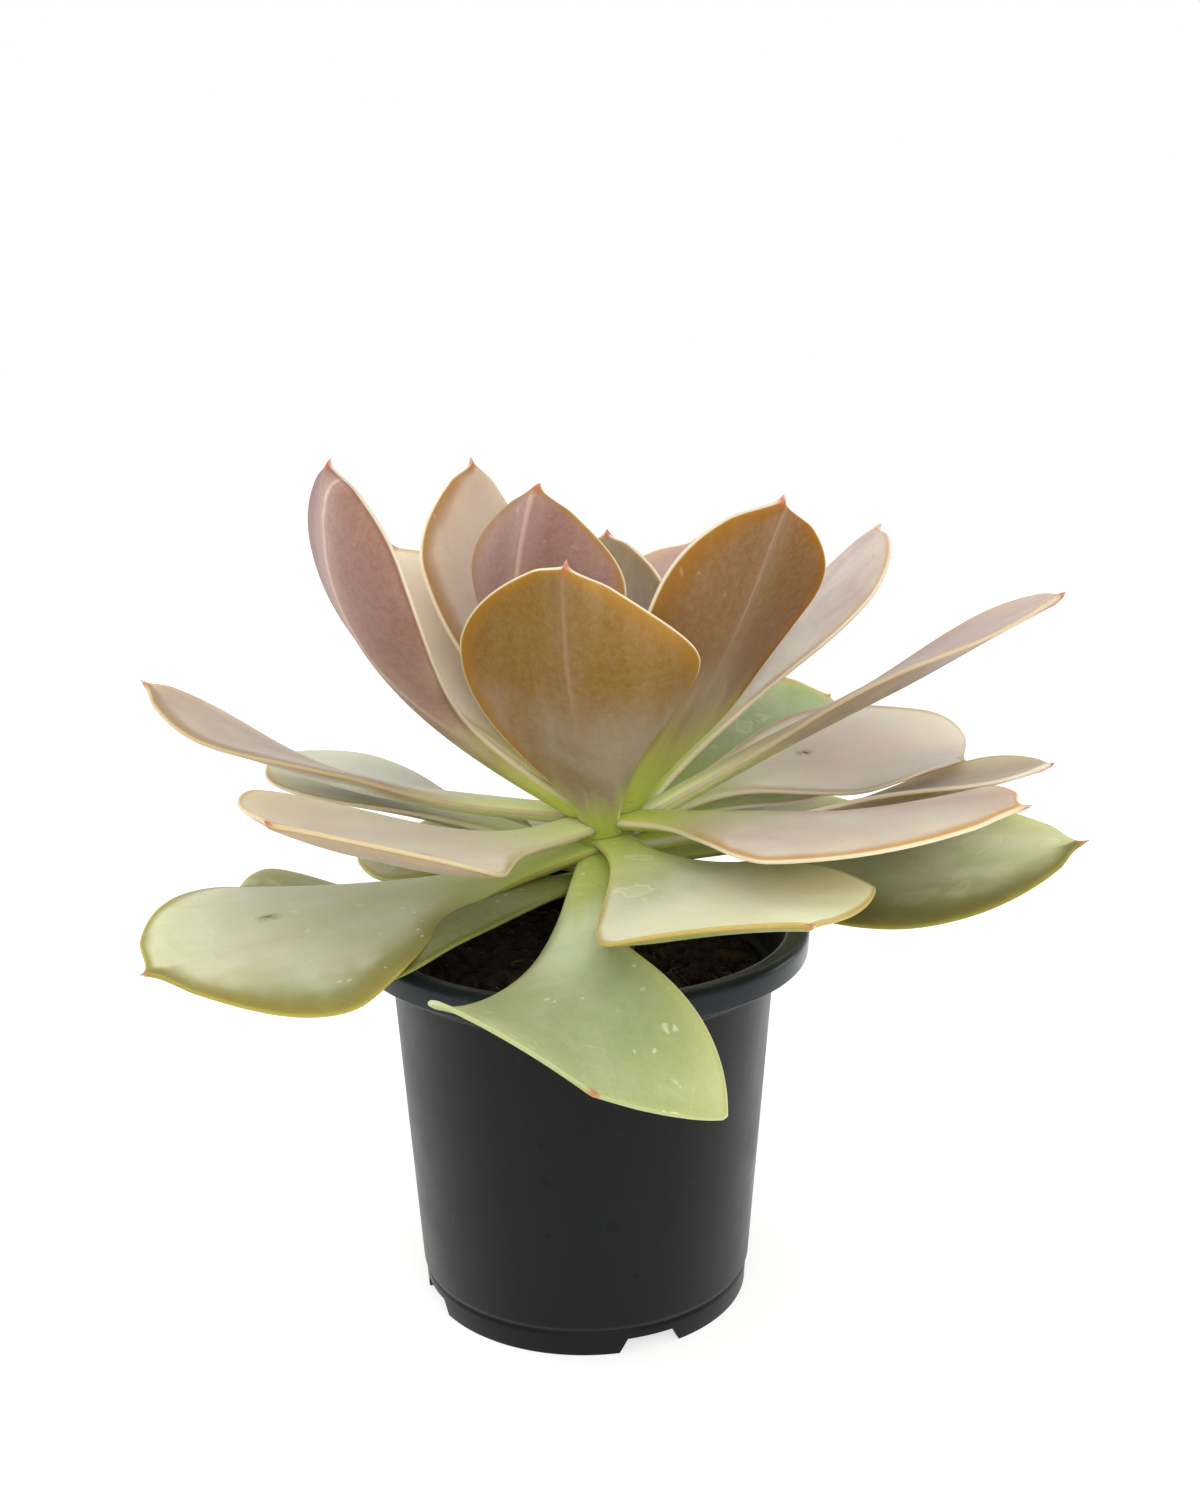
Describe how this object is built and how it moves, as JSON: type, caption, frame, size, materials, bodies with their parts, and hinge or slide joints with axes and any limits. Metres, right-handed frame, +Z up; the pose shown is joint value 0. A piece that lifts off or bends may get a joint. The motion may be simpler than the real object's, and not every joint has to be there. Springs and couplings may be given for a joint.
{
  "type": "potted lolita echeveria",
  "caption": "Succulent rosette of broad fleshy pointed leaves on a short stem, rooted in dark peat in a tapered round plastic nursery pot with a wide flat rim.",
  "frame": {"origin": "under the middle of the whole plant's width and depth, in the plane that the pot's foot rests on", "axes": "+X to the plant's right across its widest reach, -Y out of its front, +Z up, parallel to the pot's axis"},
  "size_m": [0.2082, 0.195, 0.1995],
  "materials": {
    "pot_plastic": "satin moulded plastic, charcoal, with light scuffs",
    "peat": "rough damp peat and bark with pale grains",
    "stem": "smooth lime green stem",
    "leaf_heart": "satin waxy young leaf",
    "leaf_upright": "satin waxy leaf, golden and mauve with a pale orange margin",
    "leaf_spreading": "satin waxy leaf, pink over pale green, with farina",
    "leaf_low": "satin waxy leaf, sage green, with farina and water marks"
  },
  "bodies": {
    "root": {"pot": "pot_plastic", "soil": "peat", "stem": "stem", "leaf_01": "leaf_heart", "leaf_02": "leaf_heart", "leaf_03": "leaf_heart", "leaf_04": "leaf_upright", "leaf_05": "leaf_upright", "leaf_06": "leaf_upright", "leaf_07": "leaf_upright", "leaf_08": "leaf_upright", "leaf_09": "leaf_upright", "leaf_10": "leaf_upright", "leaf_11": "leaf_upright", "leaf_12": "leaf_upright", "leaf_13": "leaf_upright", "leaf_14": "leaf_spreading", "leaf_15": "leaf_spreading", "leaf_16": "leaf_spreading", "leaf_17": "leaf_spreading", "leaf_18": "leaf_spreading", "leaf_19": "leaf_spreading", "leaf_20": "leaf_spreading", "leaf_21": "leaf_spreading", "leaf_22": "leaf_low", "leaf_23": "leaf_low", "leaf_24": "leaf_low", "leaf_25": "leaf_low", "leaf_26": "leaf_low", "leaf_27": "leaf_low", "leaf_28": "leaf_low", "leaf_29": "leaf_low", "leaf_30": "leaf_low", "leaf_31": "leaf_low"}
  },
  "joints": []
}
